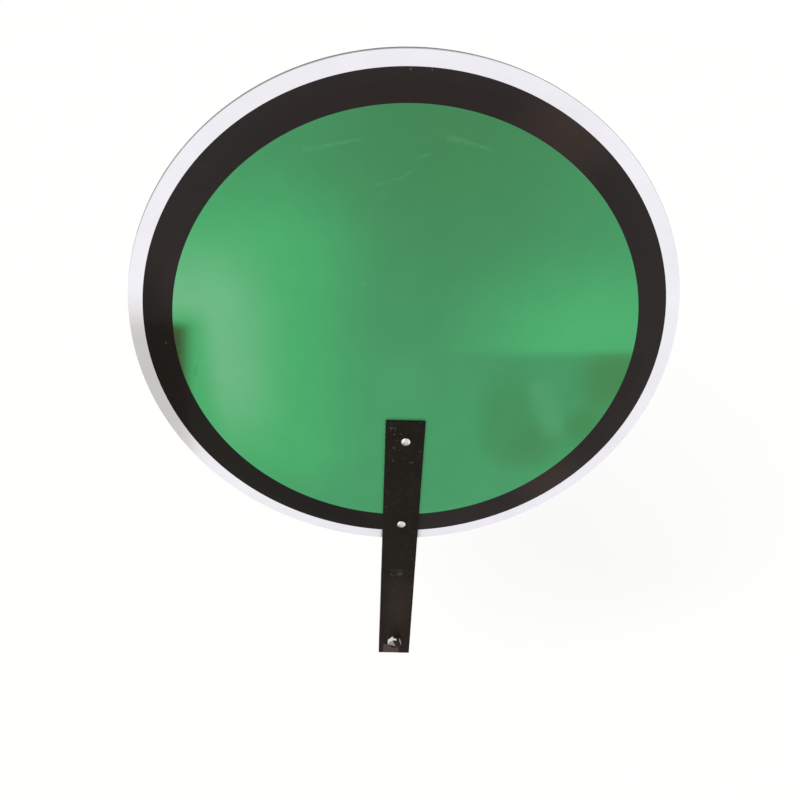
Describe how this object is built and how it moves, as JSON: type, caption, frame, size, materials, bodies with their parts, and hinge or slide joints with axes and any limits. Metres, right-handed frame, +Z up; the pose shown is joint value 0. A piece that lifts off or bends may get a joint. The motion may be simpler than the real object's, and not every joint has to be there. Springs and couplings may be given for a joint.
{
  "type": "round railway speed board",
  "caption": "Round flat sign disc with a green field, black ring and white border, riveted to a flat steel strap with a bolt for its post.",
  "frame": {"origin": "on the axis of the post bolt, where the post bears on the back face of the nut", "axes": "+Z up the strap to the disc, +Y out of the back along the bolt's free end, so the face looks along -Y; +X to the right seen from the front"},
  "size_m": [0.3999, 0.0403, 0.568],
  "materials": {
    "plate_aluminium": "bare rolled sheet, satin",
    "white_sheeting": "glossy film",
    "black_sheeting": "glossy film",
    "green_sheeting": "glossy film",
    "strap_paint": "semi-gloss black paint, lightly scratched",
    "rivet_aluminium": "bright",
    "pin_steel": "dull broken steel",
    "strap_rivet_paint": "worn dark paint",
    "bolt_zinc": "bright zinc plating"
  },
  "bodies": {
    "root": {"sign_plate": "plate_aluminium", "white_border": "white_sheeting", "black_ring": "black_sheeting", "green_field": "green_sheeting", "mounting_strap": "strap_paint", "rivet_upper": "rivet_aluminium", "rivet_lower": "rivet_aluminium", "rivet_pin_upper": "pin_steel", "rivet_pin_lower": "pin_steel", "strap_rivet": "strap_rivet_paint", "post_bolt": "bolt_zinc", "post_nut": "bolt_zinc"}
  },
  "joints": []
}
